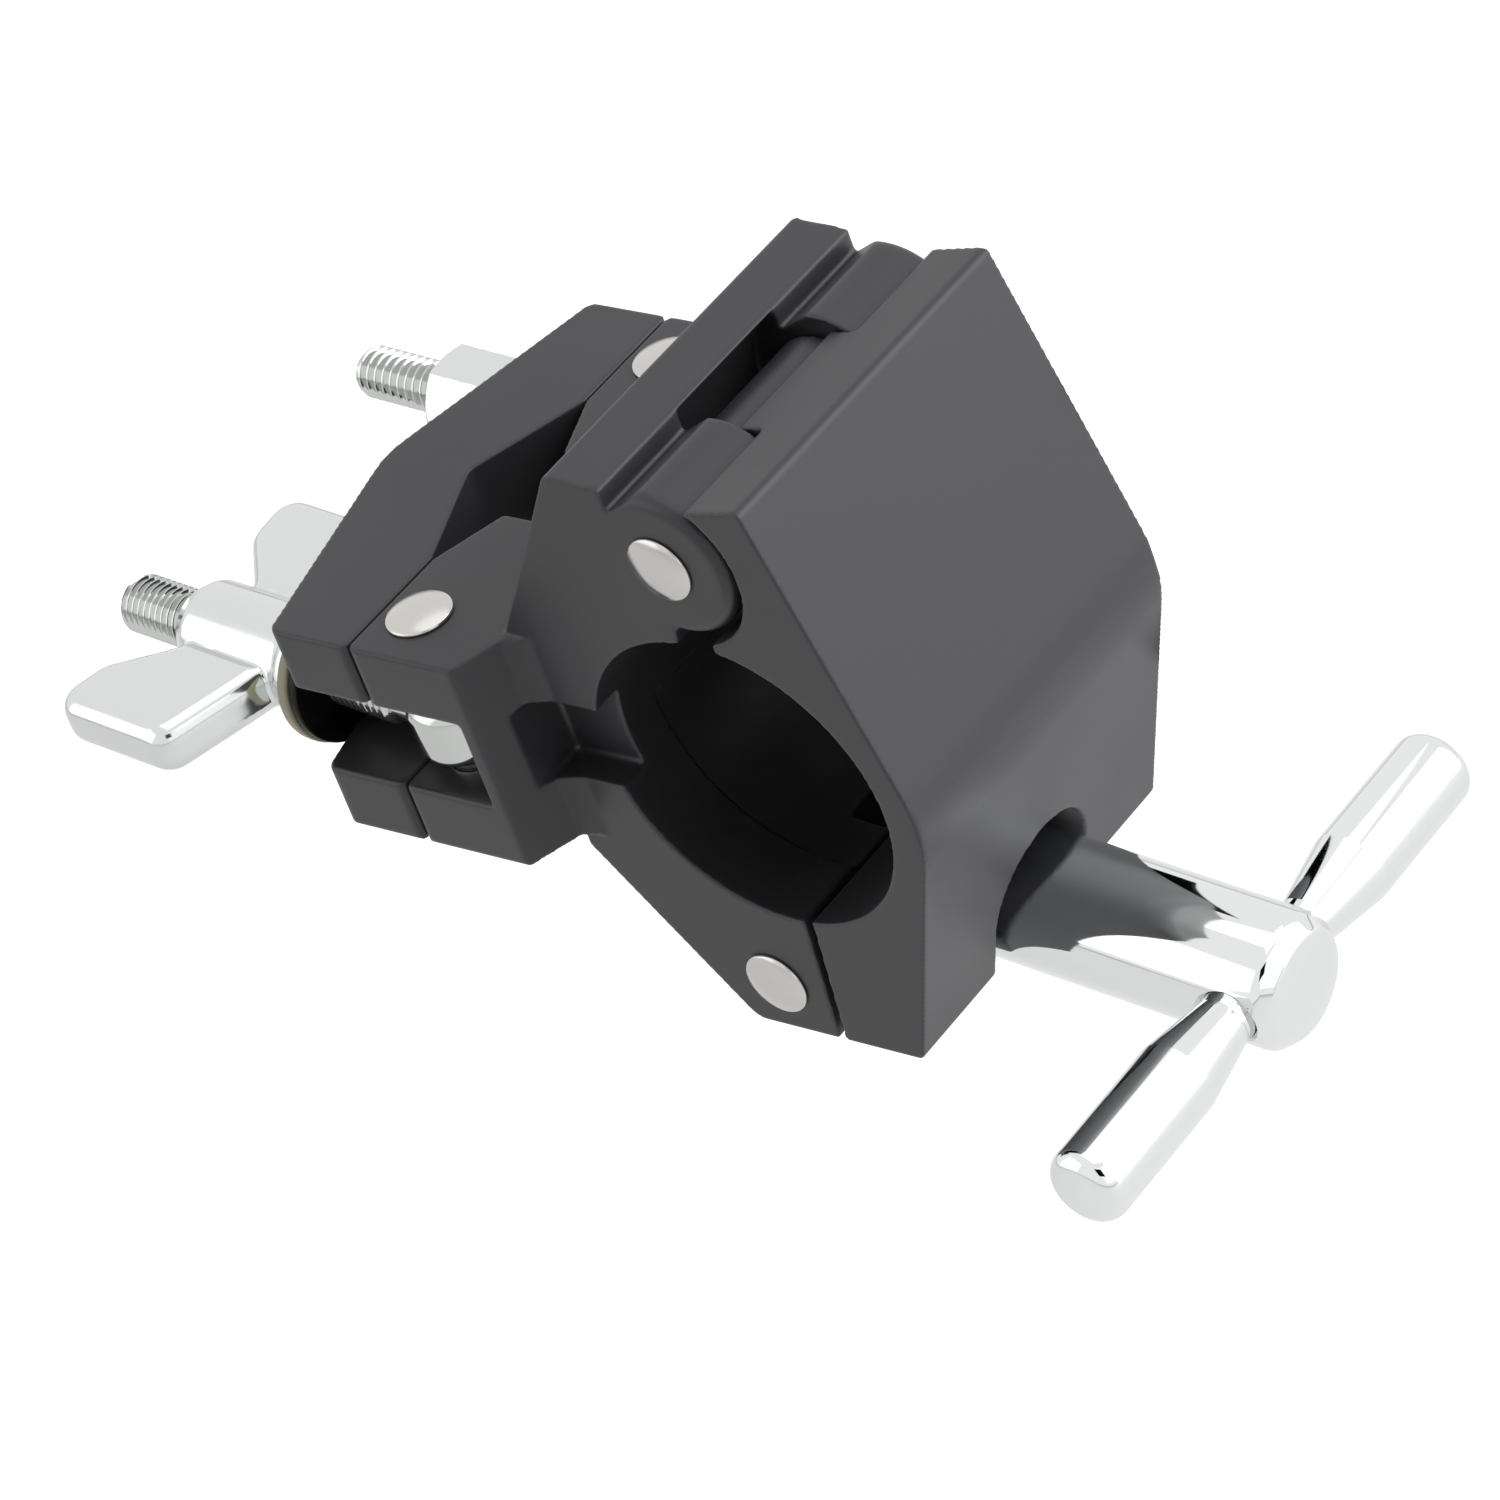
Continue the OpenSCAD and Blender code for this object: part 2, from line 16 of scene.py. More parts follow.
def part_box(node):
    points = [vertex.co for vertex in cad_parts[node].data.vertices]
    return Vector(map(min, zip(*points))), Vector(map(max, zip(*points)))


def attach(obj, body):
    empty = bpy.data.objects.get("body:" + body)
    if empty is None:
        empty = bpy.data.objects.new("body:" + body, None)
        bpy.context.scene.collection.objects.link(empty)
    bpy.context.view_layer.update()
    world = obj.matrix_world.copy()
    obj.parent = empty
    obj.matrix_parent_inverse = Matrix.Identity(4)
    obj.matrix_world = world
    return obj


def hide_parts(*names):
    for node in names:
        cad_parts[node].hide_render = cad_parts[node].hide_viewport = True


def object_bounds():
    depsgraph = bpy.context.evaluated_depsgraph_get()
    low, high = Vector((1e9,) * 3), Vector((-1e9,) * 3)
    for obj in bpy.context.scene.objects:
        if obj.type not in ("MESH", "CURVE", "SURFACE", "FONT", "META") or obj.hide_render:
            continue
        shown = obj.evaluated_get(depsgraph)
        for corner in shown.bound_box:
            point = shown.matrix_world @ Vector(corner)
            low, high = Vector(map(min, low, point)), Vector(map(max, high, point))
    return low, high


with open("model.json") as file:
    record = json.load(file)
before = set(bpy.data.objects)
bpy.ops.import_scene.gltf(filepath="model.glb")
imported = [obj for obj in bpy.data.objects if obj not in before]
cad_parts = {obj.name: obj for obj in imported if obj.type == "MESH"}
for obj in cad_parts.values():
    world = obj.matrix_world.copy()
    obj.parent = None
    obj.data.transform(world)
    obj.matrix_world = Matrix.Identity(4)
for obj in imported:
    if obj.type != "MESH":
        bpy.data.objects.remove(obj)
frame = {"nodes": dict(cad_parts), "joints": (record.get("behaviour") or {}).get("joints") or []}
cad_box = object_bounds()
nodes = frame["nodes"]
joints = {joint["name"]: joint for joint in frame["joints"]}
scene = bpy.context.scene
mm = 0.001
print("nodes:", len(nodes), "joints:", len(joints))

# %% [markdown]
# ## The camera
# A long lens from above and to the right, rolled a little so that the clamp hangs across the
# picture. The place is worked out from an aim point, a distance and three angles, which are easier
# to read and to change than a matrix. The roll turns the camera about its own line of sight.

# %% Camera
aim = Vector((-7.6, -13.7, -4.5)) * mm
distance = 751.7 * mm
azimuth, elevation, roll = math.radians(49.2), math.radians(35.5), math.radians(-21.1)
film_width, focal_length = 36, 168.3
nearest, furthest = 0.01, 50
back = Vector((math.sin(azimuth) * math.cos(elevation),
               -math.cos(azimuth) * math.cos(elevation),
               math.sin(elevation)))
camera = bpy.data.objects.new("camera", bpy.data.cameras.new("camera"))
scene.collection.objects.link(camera)
camera.data.sensor_width, camera.data.lens = film_width, focal_length
camera.data.clip_start, camera.data.clip_end = nearest, furthest
camera.location = aim + back * distance
camera.rotation_mode = "QUATERNION"
camera.rotation_quaternion = ((-back).to_track_quat("-Z", "Y").to_matrix()
                              @ Matrix.Rotation(roll, 3, "Z")).to_quaternion()
scene.camera = camera
print("camera at", [round(v, 3) for v in camera.location])

# %% [markdown]
# ## Colours and nodes
# Colours are written as sRGB hex values, as a paint card gives them, and one function turns them
# to the linear numbers that a shader wants. One more function adds a node, sets it and links it,
# which keeps each material down to the few lines that say what is special about it.

# %% Helpers for colours and nodes
def linear(hex_colour):
    """An sRGB colour such as "#c0c0c0" as linear red, green, blue and alpha."""
    values = [int(hex_colour[i:i + 2], 16) / 255 for i in (1, 3, 5)]
    return [v / 12.92 if v <= 0.04045 else ((v + 0.055) / 1.055) ** 2.4 for v in values] + [1]


def add(tree, kind, inputs=(), **settings):
    """A new node of a kind, with its settings, and its inputs linked or set."""
    node = tree.nodes.new(kind)
    for name, value in settings.items():
        setattr(node, name, value)
    for socket, value in dict(inputs).items():
        if isinstance(value, bpy.types.NodeSocket):
            tree.links.new(value, node.inputs[socket])
        else:
            node.inputs[socket].default_value = value
    return node


def new_finish(name):
    """An empty material, its node tree and its coordinates in metres on the object."""
    finish = bpy.data.materials.new(name)
    finish.use_nodes = True
    finish.node_tree.nodes.clear()
    place = add(finish.node_tree, "ShaderNodeTexCoord").outputs["Object"]
    return finish, finish.node_tree, place


print("mid grey is", round(linear("#808080")[0], 3))

# %% [markdown]
# ## Floor, background and light
# A pale floor lies well below the clamp, so that its shadow stays faint. It glows for the camera,
# and less in what metal mirrors. The world is white for the camera and for what metal mirrors, and
# sheds next to no light itself, so that hollows in the black coat go properly dark. Soft lamps
# then give each face its tone.

# %% Floor and background
floor_drop = 60 * mm
floor_size = 12.0
camera_glow, mirror_glow = 0.86, 0.56
world_shown, world_shed = 1.0, 0.01
bpy.ops.mesh.primitive_plane_add(size=floor_size, location=(0, 0, cad_box[0].z - floor_drop))
floor = bpy.context.object
floor.name = "floor"
paper, tree, _ = new_finish("white_paper")
shade = add(tree, "ShaderNodeBsdfDiffuse", {"Color": linear("#f4f4f4")})
glow = add(tree, "ShaderNodeEmission", {"Color": linear("#ffffff"), "Strength": camera_glow})
mirrored = add(tree, "ShaderNodeEmission",
               {"Color": linear("#ffffff"), "Strength": mirror_glow})
unlit = add(tree, "ShaderNodeEmission", {"Strength": 0})
rays = add(tree, "ShaderNodeLightPath")
lift = add(tree, "ShaderNodeMixShader", {0: rays.outputs["Is Glossy Ray"],
           1: unlit.outputs[0], 2: mirrored.outputs[0]})
lift = add(tree, "ShaderNodeMixShader", {0: rays.outputs["Is Camera Ray"],
           1: lift.outputs[0], 2: glow.outputs[0]})
both = add(tree, "ShaderNodeAddShader", {0: shade.outputs[0], 1: lift.outputs[0]})
add(tree, "ShaderNodeOutputMaterial", {"Surface": both.outputs[0]})
floor.data.materials.append(paper)

world = bpy.data.worlds.new("studio")
scene.world = world
world.use_nodes = True
tree = world.node_tree
tree.nodes.clear()
rays = add(tree, "ShaderNodeLightPath")
seen = add(tree, "ShaderNodeMath", {0: rays.outputs["Is Camera Ray"],
           1: rays.outputs["Is Glossy Ray"]}, operation="MAXIMUM")
seen = add(tree, "ShaderNodeMath", {0: seen.outputs[0],
           1: rays.outputs["Is Transmission Ray"]}, operation="MAXIMUM")
shown = add(tree, "ShaderNodeBackground", {"Color": linear("#ffffff"), "Strength": world_shown})
shed = add(tree, "ShaderNodeBackground", {"Color": linear("#ffffff"), "Strength": world_shed})
mixed = add(tree, "ShaderNodeMixShader", {0: seen.outputs[0],
            1: shed.outputs[0], 2: shown.outputs[0]})
add(tree, "ShaderNodeOutputWorld", {"Surface": mixed.outputs[0]})
scene.view_settings.view_transform = "Standard"
print("floor at", round(floor.location.z / mm, 1), "mm")


# %% Lamps
def softbox(name, place, size, watts):
    """A square area lamp at a place in metres, facing the clamp."""
    lamp = bpy.data.objects.new(name, bpy.data.lights.new(name, "AREA"))
    lamp.data.size, lamp.data.energy = size, watts
    lamp.location = place
    lamp.rotation_euler = (-Vector(place)).to_track_quat("-Z", "Y").to_euler()
    scene.collection.objects.link(lamp)


softbox("far_softbox", (0.9, 0.6, 0.42), 1.25, 11.0)
softbox("left_softbox", (-0.75, -0.75, 0.5), 1.0, 2.1)
softbox("top_softbox", (0.1, 0.3, 1.1), 1.0, 1.5)
softbox("front_softbox", (0.95, -0.35, 0.55), 1.0, 0.8)

# Two dark cards, which the camera doesn't see. One stands behind the lens, as a studio's unlit
# side does, and draws dark marks on the chrome. The other shades the far end of the bore, so that
# the bore stays black.
lens_card_from, lens_card_size = 0.9, 0.36
bore_card_y, bore_card_size = 27, 42
felt, tree, _ = new_finish("black_felt")
shade = add(tree, "ShaderNodeBsdfDiffuse", {"Color": linear("#202022")})
add(tree, "ShaderNodeOutputMaterial", {"Surface": shade.outputs[0]})


def card(name, place, facing, size):
    """A square of black felt at a place, facing along a direction, which the camera doesn't see."""
    bpy.ops.mesh.primitive_plane_add(size=size, location=place,
                                     rotation=facing.to_track_quat("Z", "Y").to_euler())
    sheet = bpy.context.object
    sheet.name = name
    sheet.visible_camera = False
    sheet.data.materials.append(felt)
    return sheet


lens_card = card("lens_card", aim + back * lens_card_from, back, lens_card_size)
lens_card.visible_diffuse = lens_card.visible_shadow = False
card("bore_card", Vector((0, bore_card_y, 0)) * mm, Vector((0, 1, 0)), bore_card_size * mm)

# %% [markdown]
# ## Finish: black coat on die-cast aluminium
# The castings are aluminium with a smooth semi-gloss black coat. Such a coat is a dark plastic
# film: a low, even colour, a roughness near 0.4, and a very fine orange peel that breaks up the
# highlights. The peel is a noise with cells of 0.9 mm, and a second noise of 0.15 mm stands for
# the grain under it.

# %% Black coat
def black_coat(name, colour, edge_highlight_colour):
    """Semi-gloss black paint over cast metal, with a painted highlight that makes its edges a shade
    paler.
    """
    finish, tree, place = new_finish(name)
    peel_size, grain_size, cloud_size = 0.9 * mm, 0.15 * mm, 22 * mm
    peel_height, grain_height = 0.015 * mm, 0.004 * mm
    shiny, dull = 0.36, 0.44
    edge_width, most_edge_highlight = 0.7 * mm, 0.35
    peel = add(tree, "ShaderNodeTexNoise", {"Vector": place, "Scale": 1 / peel_size, "Detail": 2})
    grain = add(tree, "ShaderNodeTexNoise", {"Vector": place, "Scale": 1 / grain_size, "Detail": 3})
    clouds = add(tree, "ShaderNodeTexNoise",
                 {"Vector": place, "Scale": 1 / cloud_size, "Detail": 3})
    rough = add(tree, "ShaderNodeMapRange", {"Value": clouds.outputs["Fac"],
                "From Min": 0.3, "From Max": 0.7, "To Min": shiny, "To Max": dull})
    # Painted highlight: where the rounded normal parts from the flat one, along an edge, the colour
    # turns paler, standing in for the light that the edges catch.
    flat = add(tree, "ShaderNodeNewGeometry").outputs["Normal"]
    rounded = add(tree, "ShaderNodeBevel", {"Radius": edge_width}, samples=6)
    match = add(tree, "ShaderNodeVectorMath", {0: rounded.outputs[0], 1: flat},
                operation="DOT_PRODUCT")
    edge_highlight = add(tree, "ShaderNodeMapRange", {"Value": match.outputs["Value"],
              "From Min": 0.99, "From Max": 0.8, "To Min": 0.0, "To Max": most_edge_highlight})
    tint = add(tree, "ShaderNodeMix", {"Factor": edge_highlight.outputs[0]}, data_type="RGBA")
    tint.inputs["A"].default_value = linear(colour)
    tint.inputs["B"].default_value = linear(edge_highlight_colour)
    fine = add(tree, "ShaderNodeBump", {"Height": grain.outputs["Fac"], "Strength": 0.25,
               "Distance": grain_height})
    skin = add(tree, "ShaderNodeBump", {"Height": peel.outputs["Fac"], "Strength": 0.35,
               "Distance": peel_height, "Normal": fine.outputs[0]})
    coat = add(tree, "ShaderNodeBsdfPrincipled", {"Base Color": tint.outputs["Result"],
               "Roughness": rough.outputs[0], "IOR": 1.5, "Normal": skin.outputs[0]})
    add(tree, "ShaderNodeOutputMaterial", {"Surface": coat.outputs[0]})
    return finish


# The second colour is the painted highlight along the edges.
casting_black = black_coat("black_painted_aluminium", "#48474b", "#6c6b70")
print("made", casting_black.name)

# %% [markdown]
# ## Finish: bright chrome
# The T-handle is polished steel with chrome plate. Chrome mirrors what is round it in a pale,
# slightly cool grey, and the lamps show in it as white. A roughness around 0.05 with faint smears
# keeps it from looking like a perfect mirror.

# %% Bright chrome
def plated(name, colour, low, high, smear_size, pit_depth):
    """A plated metal whose roughness wanders from low to high in smears, with fine pits."""
    finish, tree, place = new_finish(name)
    pit_size = 0.35 * mm
    smears = add(tree, "ShaderNodeTexNoise",
                 {"Vector": place, "Scale": 1 / smear_size, "Detail": 5})
    rough = add(tree, "ShaderNodeMapRange", {"Value": smears.outputs["Fac"],
                "From Min": 0.35, "From Max": 0.7, "To Min": low, "To Max": high})
    pits = add(tree, "ShaderNodeTexNoise", {"Vector": place, "Scale": 1 / pit_size, "Detail": 2})
    skin = add(tree, "ShaderNodeBump", {"Height": pits.outputs["Fac"], "Strength": 0.3,
               "Distance": pit_depth})
    plate = add(tree, "ShaderNodeBsdfPrincipled", {"Base Color": linear(colour), "Metallic": 1,
                "Roughness": rough.outputs[0], "Normal": skin.outputs[0]})
    add(tree, "ShaderNodeOutputMaterial", {"Surface": plate.outputs[0]})
    return finish


bright_chrome = plated("bright_chrome_plate", "#e4e7e6", 0.03, 0.08, 9 * mm, 0.0006 * mm)
print("made", bright_chrome.name)

# %% [markdown]
# ## Finish: plated nuts, zinc studs and nickel rivets
# The nuts are die-cast or turned and then plated, so they are bright but softer than the handle.
# The studs and the steel washer of the T-handle are zinc plated, which is a little greyer. The
# rivets are satin nickel: their heads are pressed into a dome by the riveting tool, which leaves a
# fine pebbled skin.

# %% Softer plated metals
nut_chrome = plated("chrome_plated_die_casting", "#d9dcda", 0.10, 0.20, 6 * mm, 0.002 * mm)
zinc = plated("zinc_plated_steel", "#c8cac8", 0.08, 0.16, 3 * mm, 0.002 * mm)
nickel = plated("satin_nickel_plate", "#cbc9c5", 0.16, 0.28, 2 * mm, 0.006 * mm)
print("made", nut_chrome.name, zinc.name, nickel.name)

# %% [markdown]
# ## Finish: blackened steel
# The steel washers against the V jaw are blackened in a hot salt bath, which turns the skin of the
# steel into a black oxide. It is a thin, oily, slightly brown black that stays a metal, so it
# keeps a soft shine.

# %% Blackened steel
black_steel, tree, place = new_finish("black_oxide_steel")
bloom_size = 4 * mm
bloom = add(tree, "ShaderNodeTexNoise", {"Vector": place, "Scale": 1 / bloom_size, "Detail": 4})
tone = add(tree, "ShaderNodeMix", {"Factor": bloom.outputs["Fac"]}, data_type="RGBA")
tone.inputs["A"].default_value = linear("#232224")
tone.inputs["B"].default_value = linear("#32302e")
rough = add(tree, "ShaderNodeMapRange", {"Value": bloom.outputs["Fac"],
            "From Min": 0.3, "From Max": 0.7, "To Min": 0.34, "To Max": 0.5})
oxide = add(tree, "ShaderNodeBsdfPrincipled", {"Base Color": tone.outputs["Result"], "Metallic": 1,
            "Roughness": rough.outputs[0]})
add(tree, "ShaderNodeOutputMaterial", {"Surface": oxide.outputs[0]})
print("made", black_steel.name)

# %% [markdown]
# ## Finish: natural nylon
# The washers under the nuts and in the seat of the T-handle are natural nylon, cream and slightly
# cloudy. A little light goes into the surface and comes out again, which a subsurface of a few
# tenths of a millimetre gives.

# %% Natural nylon
nylon, tree, place = new_finish("natural_nylon")
cloud_size, dimple_height, light_reach = 3 * mm, 0.02 * mm, 0.4 * mm
cloud = add(tree, "ShaderNodeTexNoise", {"Vector": place, "Scale": 1 / cloud_size, "Detail": 2})
cream = add(tree, "ShaderNodeMix", {"Factor": cloud.outputs["Fac"]}, data_type="RGBA")
cream.inputs["A"].default_value = linear("#e4dcb8")
cream.inputs["B"].default_value = linear("#efe9cf")
skin = add(tree, "ShaderNodeBump", {"Height": cloud.outputs["Fac"], "Strength": 0.2,
           "Distance": dimple_height})
plastic = add(tree, "ShaderNodeBsdfPrincipled", {"Base Color": cream.outputs["Result"],
              "Roughness": 0.45, "IOR": 1.53, "Subsurface Weight": 0.3,
              "Subsurface Scale": light_reach, "Normal": skin.outputs[0]})
add(tree, "ShaderNodeOutputMaterial", {"Surface": plastic.outputs[0]})
print("made", nylon.name)

# %% [markdown]
# ## The castings and the hex nut
# The castings and the hex nut have the right shapes already, but cast and plated metal has no
# sharp edge. A bevel would have to deal with hundreds of short edges where roundings meet.
# Remeshing into small even cells and then smoothing rounds every edge by the same amount instead,
# outside and inside corners alike, and it leaves the flats flat. The solids themselves stay as
# they are, since modifiers do the work. The number of passes sets how far the rounding reaches.

# %% Castings and hex nut with soft edges
def soften(solid, cell, passes, finish):
    """Remeshes a solid into cells of a size and smooths it, so that its edges turn soft."""
    solid.data.materials.clear()
    solid.data.materials.append(finish)
    remesh = solid.modifiers.new("even cells", "REMESH")
    remesh.mode, remesh.voxel_size, remesh.use_smooth_shade = "VOXEL", cell, True
    smooth = solid.modifiers.new("soft edges", "SMOOTH")
    smooth.factor, smooth.iterations = 0.5, passes
    bpy.context.view_layer.update()
    shown = solid.evaluated_get(bpy.context.evaluated_depsgraph_get())
    print(solid.name, "has", len(shown.data.polygons), "faces")


casting_cell, hex_cell = 0.27 * mm, 0.2 * mm
for node in ("clamp_body", "clamp_cover", "outer_jaw"):
    soften(nodes[node], casting_cell, 3, casting_black)
soften(nodes["hex_nut"], hex_cell, 3, nut_chrome)

# %% [markdown]
# ## Turned pieces
# The handle, rivets and washers are turned on a lathe or formed round an axis, so each is an
# outline spun round it. An outline is a list of corners along and out from the axis, and each
# corner has its own small radius. One helper works out where a screw's axis lies, from its joint.

# %% Helpers for turned pieces
quarter = math.radians(90)
crisp = math.radians(32)


def screw_place(turn):
    """The place of a screw at rest: its pivot, with X along the screw and Z near to up."""
    along = Vector(joints[turn]["axis"]).normalized()
    side = Vector((0, 0, 1)).cross(along).normalized()
    place = Matrix((along, side, along.cross(side))).transposed().to_4x4()
    place.translation = Vector(joints[turn]["pos_m"])
    return place


def eased(corners, steps=5):
    """The points of an outline whose corners, each (along, out, radius) in mm, are rounded."""
    points = []
    for k, (x, y, radius) in enumerate(corners):
        corner = Vector((x, y))
        if radius == 0 or k in (0, len(corners) - 1):
            points.append(corner * mm)
            continue
        before = (Vector(corners[k - 1][:2]) - corner).normalized()
        after = (Vector(corners[k + 1][:2]) - corner).normalized()
        half = before.angle(after) / 2
        centre = corner + (before + after).normalized() * radius / math.sin(half)
        start = corner + before * radius / math.tan(half) - centre
        end = corner + after * radius / math.tan(half) - centre
        for i in range(steps + 1):
            swing = start.slerp(end, i / steps)
            points.append((centre + swing.normalized() * radius) * mm)
    return points


def turned(outline, turns=96):
    """A mesh of an outline of (along, out) points spun round X. Points on the axis close it."""
    form = bmesh.new()
    rings = []
    for x, r in outline:
        if r < 1e-9:
            rings.append([form.verts.new((x, 0, 0))])
        else:
            rings.append([form.verts.new((x, r * math.cos(a), r * math.sin(a)))
                          for a in (2 * math.pi * i / turns for i in range(turns))])
    for one, two in zip(rings, rings[1:] + rings[:1]):
        for i in range(turns):
            j = (i + 1) % turns
            face = [one[i % len(one)], one[j % len(one)], two[j % len(two)], two[i % len(two)]]
            face = list(dict.fromkeys(face))
            if len(face) > 2:
                form.faces.new(face)
    bmesh.ops.recalc_face_normals(form, faces=form.faces)
    mesh = bpy.data.meshes.new("turned")
    form.to_mesh(mesh)
    form.free()
    return mesh


def put(name, mesh, place, body, slot, finish, *replaced):
    """A piece with a mesh at a place, which rides on a body and stands for CAD nodes."""
    piece = bpy.data.objects.new(name, mesh)
    mesh.name = name
    scene.collection.objects.link(piece)
    piece.matrix_world = place
    mesh.materials.append(finish)
    mesh.shade_smooth()
    mesh.set_sharp_from_angle(angle=crisp)
    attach(piece, body)
    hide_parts(*replaced)
    print(name, "on", body, "with", len(mesh.polygons), "faces")
    return piece


handle_place = screw_place("handle_turn")
wing_place = screw_place("wing_nut_turn")
hex_place = screw_place("hex_nut_turn")
print("handle axis", [round(v, 3) for v in handle_place.col[0][:3]])

# %% [markdown]
# ## The hub of the T-handle
# The hub is a polished steel cylinder with a slightly domed end, bored for the bolt and drilled
# across for the arms. The outline makes the bore as well as the outside. The cross holes are cut
# by two cutters with a short flare, as a countersink leaves, so that a thin dark ring shows where
# each arm goes in.

# %% Hub of the T-handle
hub_r, hub_start, hub_end = 7.8, 14.65, 54.6
bore_r, bore_end = 4.05, 44.4
arm_at, neck_r = 48.5, 3.3
crown_h, crown_steps, start_edge = 0.6, 6, 0.6
hole_start, hole_r, flare_start, flare_end, flare_r = 3.4, 3.35, 7.1, 9.1, 5.35
crown = [(hub_end - crown_h * (k / crown_steps) ** 2, (hub_r - 2) * k / crown_steps, 0)
         for k in range(crown_steps)]
hub_outline = eased(crown + [
    (hub_end - 0.75, hub_r - 1.55, 1.2), (hub_end - 2.5, hub_r, 1.6),
    (hub_start + start_edge, hub_r, 0.3), (hub_start, hub_r - start_edge, 0.2),
    (hub_start, bore_r, 0.2), (bore_end, bore_r, 0), (bore_end, 0, 0)])
hub = put("turned_hub", turned(hub_outline, 144), handle_place, "t_handle", "chrome",
          bright_chrome, "handle_hub")
arm_places = {side: handle_place @ Matrix.Translation((arm_at * mm, 0, 0))
              @ Matrix.Rotation(quarter * side, 4, "Z") for side in (1, -1)}
hole_outline = ((hole_start, 0), (hole_start, hole_r), (flare_start, hole_r),
                (flare_end, flare_r), (flare_end, 0))
for side in (1, -1):
    hole = turned([Vector(corner) * mm for corner in hole_outline], 64)
    cutter = bpy.data.objects.new("cutter", hole)
    scene.collection.objects.link(cutter)
    cutter.matrix_world = arm_places[side]
    cut = hub.modifiers.new("cross hole", "BOOLEAN")
    cut.object, cut.operation, cut.solver = cutter, "DIFFERENCE", "EXACT"
    bpy.context.view_layer.objects.active = hub
    bpy.ops.object.modifier_apply(modifier=cut.name)
    bpy.data.objects.remove(cutter)
hub.data.set_sharp_from_angle(angle=crisp)
print("hub faces after the cross holes:", len(hub.data.polygons))

# %% [markdown]
# ## The arms of the T-handle
# Each arm is turned from bar: a thin neck pressed into the hub, a long taper, and a grip with a
# well rounded end. The taper starts and stops at a crisp edge that catches the light, so those
# corners get hardly any radius.

# %% Arms of the T-handle
grip_r, arm_root, taper_start, taper_end, arm_tip = 4.75, 3.55, 8.4, 17.4, 36.5
arm_outline = [(arm_root, 0, 0), (arm_root, neck_r, 0.3), (taper_start, neck_r, 0.3),
               (taper_end, grip_r, 0.25), (arm_tip - 0.5, grip_r, 2.2),
               (arm_tip - 0.28, 1.1, 1.0), (arm_tip, 0, 0)]
for name, node, side in (("arm_near", "handle_arm_near", -1), ("arm_far", "handle_arm_far", 1)):
    put(name, turned(eased(arm_outline, 8), 128), arm_places[side], "t_handle", "chrome",
        bright_chrome, node)

# %% [markdown]
# ## The wing nut
# A die-cast wing nut has full, rounded wings. A curve gives them directly: its outline is drawn
# flat, then thickened with a round bevel and pulled in by the same amount, so that the wings keep
# their size. The hub is spun. Small even cells fuse the three forms into one skin, and a few
# smoothing passes leave the fillets that a casting has where its wings grow out of the hub. The
# bore is left a little wide, so the stud stands free.

# %% Wing nut
nut_start, hub_top = 21.15, 42.75
wing_half, wing_thick, wing_round, wing_root, tip_round = 20.0, 6.4, 2.3, 4.5, 3.2
flange_r, barrel_r, nut_bore_r = 7.2, 6.0, 3.75
wing_cell, wing_passes = 0.24 * mm, 8
wing = bpy.data.curves.new("wing", "CURVE")
wing.dimensions, wing.fill_mode = "2D", "BOTH"
wing.extrude = wing_thick / 2 - wing_round
wing.bevel_depth, wing.bevel_resolution = wing_round, 5
wing.offset = -wing_round
rim = eased([(nut_start + 3.8, wing_root, 0), (nut_start + 4.6, 8.5, 8),
             (nut_start + 7.4, wing_half, tip_round), (hub_top + 5.0, wing_half, tip_round),
             (hub_top + 3.5, 12, 4), (hub_top - 2.0, 7.0, 3), (hub_top - 4.4, wing_root, 0)], 8)
line = wing.splines.new("POLY")
line.points.add(len(rim) - 1)
for point, corner in zip(line.points, rim):
    point.co = (corner.x / mm, corner.y / mm, 0, 1)
line.use_cyclic_u = True
drawn = bpy.data.objects.new("wing", wing)
scene.collection.objects.link(drawn)
form = bmesh.new()
form.from_mesh(turned(eased([(nut_start, nut_bore_r, 0), (nut_start, flange_r, 0.4),
                             (nut_start + 1.6, flange_r, 0.5), (nut_start + 3, barrel_r, 1),
                             (hub_top - 2.4, barrel_r - 0.3, 0.5), (hub_top, barrel_r - 1.6, 0.8),
                             (hub_top, nut_bore_r, 0)])))
for side in (1, -1):
    plate = bpy.data.meshes.new_from_object(drawn)
    plate.transform(Matrix.Scale(mm, 4) @ Matrix.Diagonal((1, side, 1, 1)))
    form.from_mesh(plate)
bmesh.ops.recalc_face_normals(form, faces=form.faces)
mesh = bpy.data.meshes.new("wing_nut_skin")
form.to_mesh(mesh)
form.free()
bpy.data.objects.remove(drawn)
skin = put("wing_nut_skin", mesh, wing_place, "wing_nut_body", "chrome", nut_chrome, "wing_nut")
soften(skin, wing_cell, wing_passes, nut_chrome)

# %% [markdown]
# ## The rivets
# A solid rivet fills its hole and has a low domed head at each end. The riveting tool leaves the
# head a little fuller at its rim than a true ball, so the outline has a short upright edge with a
# small radius under a dome.

# %% Rivets
head_h, rim_h, dome_steps, dome_power = 1.2, 0.35, 8, 2.2


def rivet(name, node, body, shank_r, head_r, across):
    """A rivet with two domed heads, along an axis of the world, in place of a CAD node."""
    low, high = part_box(node)
    middle = (Vector(low) + Vector(high)) / 2
    half = (high[across] - low[across]) / 2 / mm
    seat = half - head_h
    dome = [(half - (head_h - rim_h) * (k / dome_steps) ** dome_power, head_r * k / dome_steps, 0)
            for k in range(dome_steps)]
    side = dome + [(seat + rim_h, head_r, 0.3), (seat, head_r, 0.1), (seat, shank_r, 0)]
    outline = eased(side + [(-x, r, e) for x, r, e in reversed(side)], 4)
    turn = Matrix.Rotation(quarter, 4, "Z" if across == 1 else "Y")
    put(name, turned(outline, 72), Matrix.Translation(middle) @ turn, body, "nickel_rivet",
        nickel, node)


